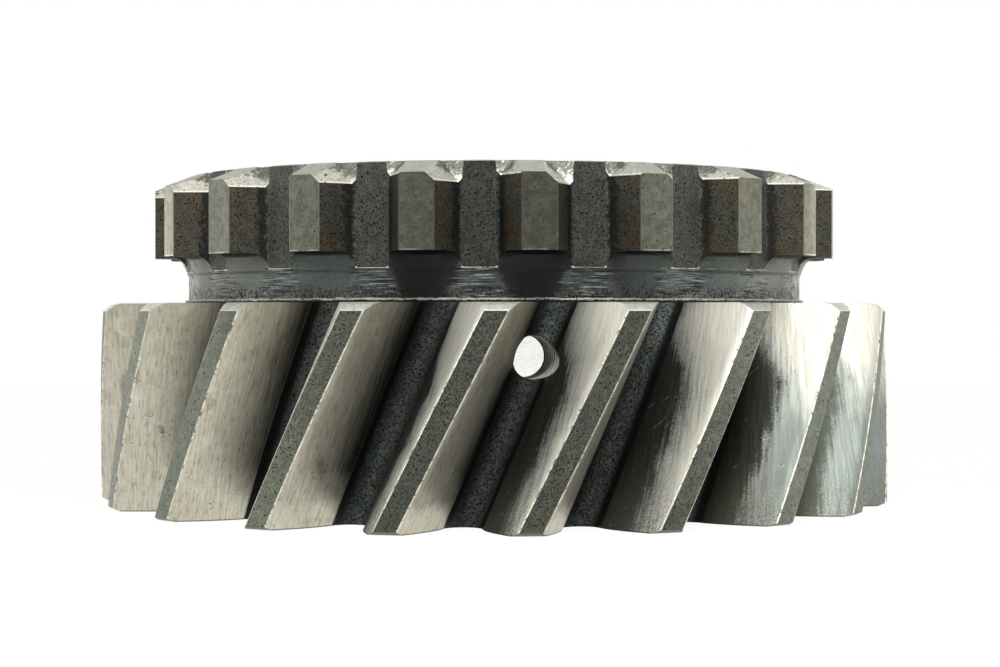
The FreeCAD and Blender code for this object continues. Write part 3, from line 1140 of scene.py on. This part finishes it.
def burrs(tree, spot, skin):
    """Dark, torn steel at the upper inner end of each slope, and long scratches down it."""
    place, height = spot["Round place"], spot["Height"]
    torn = minus(tree, height, times(tree, spot["Radius"], 0.7))
    torn = wander(tree, torn, grain(tree, place, 1.5, 5.0, 0.8), 6.0)
    x, y, z = split(tree, place)
    down = join(tree, minus(tree, x, z), times(tree, y, 0.4), times(tree, z, 0.12))
    scratch = grain(tree, down, 5.5, 4.0, 0.75)
    low_edge = fade(tree, spot["Clutch across"], -0.01, 0.01, part_top - left_facet_drop,
                    part_top - right_facet_drop)
    rim = calc(tree, "COMPARE", height, calc(tree, "ADD", low_edge, 0.08), 0.1)
    return coats(tree, skin,
                 (fade(tree, torn, 10.2, 11.2, 0.0, 0.85), (70, 70, 61)),
                 (fade(tree, scratch, 0.54, 0.66, 0.0, 0.6), (240, 239, 228)),
                 (fade(tree, scratch, 0.34, 0.46, 0.6, 0.0), (104, 104, 92)),
                 (times(tree, rim, 0.75), (242, 241, 230)))


# %% Put the bright skin on five surfaces
rubbed("worn edge", (196, 193, 176), (236, 232, 216), (110, 110, 96), 0.5, 0.4, shape=edge_wear_and_shade)
rubbed("chamfer", (198, 199, 187), (228, 227, 214), (140, 140, 128), 0.15, 0.42,
       shape=bright_rim)
rubbed("facet", (178, 177, 164), (212, 210, 196), (92, 92, 82), 0.6, 0.42, depth=0.03,
       shape=burrs, scale=3.2)
rubbed("gear face", (124, 125, 115), (178, 177, 167), (84, 84, 76), 0.35, 0.4, scale=2.6,
       turned=True)
rubbed("ring top", (104, 104, 95), (158, 157, 147), (66, 66, 60), 0.4, 0.42, scale=2.6,
       turned=True)

# %% [markdown]
# The neck shows the turning tool: thin level lines below the gaps of the clutch ring, and
# smooth blue-grey skin elsewhere, painted darker at the front and lighter to the sides. A
# painted shadow lies under the front teeth and in the corners, pits sit along the foot, and
# the cut of each gap ends in a bright burr.

# %% Neck: smooth skin and turned lines
tree, shader, spot = open_finish("neck")
place, height, side = spot["Round place"], spot["Height"], spot["Side"]
x, y, z = split(tree, place)
lines = grain(tree, join(tree, times(tree, x, 0.05), times(tree, y, 0.05), z), 7.5, 3.0, 0.6)
cloud = grain(tree, place, 0.4, 4.0, 0.7)
gap = from_gap(tree, spot)
turning = times(tree, fade(tree, wander(tree, gap, cloud, 0.9), 0.16, 0.34, 1.0, 0.0),
                fade(tree, height, 26.0, 26.2, 1.0, 0.3))
skin = shades(tree, cloud, (80, 87, 84), (118, 124, 119))
# Painted light: the neck is lighter towards the sides and darker at the front.
skin = coats(tree, skin, (fade(tree, side, 0.55, 0.93, 0.0, 0.7), (160, 164, 156)))
skin = gain(tree, skin, fade(tree, side, 0.25, 0.55, 0.5, 0.9))
dark_lines = times(tree, fade(tree, lines, 0.38, 0.5, 0.9, 0.0), turning)
light_lines = times(tree, fade(tree, lines, 0.57, 0.62, 0.0, 0.8), turning)
skin = coats(tree, skin, (dark_lines, (30, 34, 35)), (light_lines, (162, 165, 158)))

# %% Neck: ends of the gaps, pits and painted shadow under the front teeth
floor_end = calc(tree, "LESS_THAN", gap, 0.165)
gap_end = times(tree, floor_end, fade(tree, height, 26.0, 26.06))
skin = tint(tree, gap_end, skin, shades(tree, cloud, (66, 70, 66), (96, 100, 94)))
burr = calc(tree, "COMPARE", wander(tree, height, cloud, 0.3), 26.06, 0.08)
burr = times(tree, burr, times(tree, floor_end,
                               fade(tree, grain(tree, place, 1.1, 3.0), 0.34, 0.44)))
foot_pits = times(tree, use(tree, pits, Scale=3.6, Amount=1.0, Softness=0.08)["Pits"],
                  fade(tree, wander(tree, height, cloud, 1.6), 23.2, 24.8, 1.0, 0.2))
# Painted shadow under the front clutch teeth: black, narrowing downwards and fading to the sides.
ragged = wander(tree, wander(tree, spot["Clutch across"], lines, 0.34), cloud, 0.3)
past_painted_shadow = minus(tree, calc(tree, "ABSOLUTE", ragged), fade(tree, height, 23.0, 26.6, 0.2, 0.36))
painted_shadow = times(tree, fade(tree, past_painted_shadow, -0.03, 0.03, 1.0, 0.0),
             fade(tree, side, 0.22, 0.5, 0.85, 0.1))
skin = coats(tree, skin, (foot_pits, (16, 18, 18)), (painted_shadow, (18, 20, 22)),
             (burr, (226, 226, 214)))

# %% Neck: torn steel at both sides, the collar's rim, and painted shade in the corners
torn = grain(tree, place, 0.9, 5.0, 0.8)
from_patch = minus(tree, calc(tree, "ABSOLUTE", spot["Angle"]), 1.34)
from_patch = wander(tree, calc(tree, "ABSOLUTE", from_patch), torn, 0.2)
patch = fade(tree, from_patch, 0.1, 0.24, 1.0, 0.0)
rim = calc(tree, "COMPARE", wander(tree, height, grain(tree, place, 1.2, 3.0), 0.35), 22.86, 0.09)
rim = times(tree, rim, fade(tree, grain(tree, place, 1.4, 4.0, 0.7), 0.36, 0.46))
# The last two coats are painted shade: a black line at the foot of the collar and a dark band
# under the clutch ring.
skin = coats(tree, skin,
             (times(tree, patch, fade(tree, torn, 0.44, 0.56, 0.0, 0.8)), (204, 204, 189)),
             (times(tree, patch, fade(tree, torn, 0.38, 0.47, 0.7, 0.0)), (50, 52, 46)),
             (times(tree, rim, 0.85), (196, 195, 182)),
             (fade(tree, wander(tree, height, cloud, 0.15), 22.62, 22.72, 1.0, 0.0),
              (14, 15, 15)),
             (fade(tree, height, 27.3, 27.5, 0.0, 0.8), (20, 21, 20)))
relief = minus(tree, times(tree, lines, turning), foot_pits)
close_finish(tree, shader, skin, 0.45, 0.7, relief, 0.05)

# %% [markdown]
# The bore is ground for the bearing and is the brightest face. The wall of the oil hole
# still shows the rings that the drill left.

# %% Bore and oil hole
tree, shader, spot = open_finish("bore")
lines = use(tree, streaks, Line_place=spot["Round place"], Scale=1.2, Stretch=9.0)
skin = shades(tree, lines["Streak"], (226, 227, 223), (250, 250, 247))
skin = coats(tree, skin, (fade(tree, lines["Fine"], 0.0, 0.4, 0.3, 0.0), (186, 187, 182)))
close_finish(tree, shader, skin, 0.3, 0.72, lines["Fine"], 0.01)

tree, shader, spot = open_finish("oil hole")
uneven = wander(tree, spot["Radius"], grain(tree, spot["Round place"], 0.9, 3.0), 1.2)
rings = grain(tree, join(tree, uneven), 1.3, 3.0, 0.7)
skin = shades(tree, fade(tree, rings, 0.42, 0.54), (14, 15, 13), (200, 200, 188))
skin = coats(tree, skin, (fade(tree, spot["Radius"], 28.2, 29.2, 1.0, 0.0), (3, 3, 3)))
close_finish(tree, shader, skin, 0.9, 0.0, rings, 0.1)
shader.inputs["Specular IOR Level"].default_value = 0.0
print("materials:", len(bpy.data.materials), "groups:",
      len(bpy.data.node_groups))

# %% [markdown]
# ## Floor, light and camera
# The gear lies on a white table in soft studio light, and its flanks mirror the white all
# round. The camera stands a quarter of a metre in front, just below the upper end of the
# helical teeth. Its place, tilt and lens are those that make the outlines fit the photo.

# %% Floor and backdrop
def white_surface(name, near_level):
    """White paper that the camera and the metal see as plain white, with a soft shadow near."""
    material = bpy.data.materials.new(name)
    material.use_nodes = True
    tree = material.node_tree
    paper = tree.nodes["Principled BSDF"]
    paper.inputs["Base Color"].default_value = (0.85, 0.85, 0.85, 1)
    paper.inputs["Roughness"].default_value = 0.9
    path = put(tree, "ShaderNodeLightPath").outputs
    seen = calc(tree, "MAXIMUM", path["Is Camera Ray"],
                calc(tree, "MAXIMUM", path["Is Glossy Ray"], path["Is Transmission Ray"]))
    place = put(tree, "ShaderNodeTexCoord").outputs["Object"]
    away = put(tree, "ShaderNodeVectorMath", {0: place}, operation="LENGTH").outputs["Value"]
    level = fade(tree, away, 0.1, 0.5, near_level, 1.0)
    glow = put(tree, "ShaderNodeEmission")
    mix = put(tree, "ShaderNodeMixShader", {0: times(tree, seen, level),
                                            1: paper.outputs[0], 2: glow.outputs[0]})
    tree.links.new(mix.outputs[0], tree.nodes["Material Output"].inputs["Surface"])
    return material


def white_body(name, title, corners, faces, near_level):
    """A white object of the stage, which is no part of the gear."""
    mesh = bpy.data.meshes.new(title)
    mesh.from_pydata(corners, [], faces)
    mesh.materials.append(white_surface(title, near_level))
    body = bpy.data.objects.new(name, mesh)
    bpy.context.scene.collection.objects.link(body)
    print("stage:", name, "with", len(faces), "faces")


half_table, wall_distance, wall_bottom, wall_top = 6, 3, -0.01, 2.5
table_corners = [(x * half_table, y * half_table, 0)
                 for x, y in ((-1, -1), (1, -1), (1, 1), (-1, 1))]
bow = np.linspace(math.radians(-100), math.radians(100), 49)
wall_x, wall_y = wall_distance * np.sin(bow), wall_distance * np.cos(bow)
wall_corners = [(x, y, z) for z in (wall_bottom, wall_top) for x, y in zip(wall_x, wall_y)]
wall_faces = [(n, n + 1, n + 1 + len(bow), n + len(bow)) for n in range(len(bow) - 1)]
white_body("white_table", "white table", table_corners, [(0, 1, 2, 3)], 0.93)
white_body("white_backdrop", "white backdrop", wall_corners, wall_faces, 1.0)

# %% World
world = bpy.data.worlds.new("studio")
bpy.context.scene.world = world
world.use_nodes = True
tree = world.node_tree
room = tree.nodes["Background"]
room.inputs["Color"].default_value = (1, 1, 1, 1)
seen = put(tree, "ShaderNodeLightPath").outputs["Is Camera Ray"]
link(tree, fade(tree, seen, 0.0, 1.0, 0.3, 1.0), room.inputs["Strength"])
print("world:", world.name)

# %% Lamps
lamp_target = Vector((0, 0, 0.018))
for name, place, size, power in (("key softbox", (0.05, -0.40, 0.50), 0.28, 4.6),
                                 ("left softbox", (-0.7, -0.15, 0.4), 0.5, 1.8),
                                 ("right softbox", (0.7, -0.15, 0.4), 0.5, 1.8)):
    lamp = bpy.data.lights.new(name, "AREA")
    lamp.shape = "RECTANGLE"
    lamp.size, lamp.size_y = size, size
    lamp.energy = power
    body = bpy.data.objects.new(name, lamp)
    body.location = place
    body.rotation_mode = "QUATERNION"
    body.rotation_quaternion = (lamp_target - Vector(place)).to_track_quat("-Z", "Y")
    bpy.context.scene.collection.objects.link(body)
    print("lamp:", name, power, "watts")

# %% Camera
camera_data = bpy.data.cameras.new("camera")
camera_data.lens = 75.84
camera_data.sensor_width = 36.0
camera_data.clip_start = 0.01
camera = bpy.data.objects.new("camera", camera_data)
camera.location = (0, -0.2459, 0.02121)
camera.rotation_euler = (math.pi / 2 - 0.0087, 0, -0.0027)
bpy.context.scene.collection.objects.link(camera)
bpy.context.scene.camera = camera
bpy.context.scene.view_settings.view_transform = "Standard"
print("camera at", tuple(camera.location))

# %% Update the scene
bpy.context.view_layer.update()
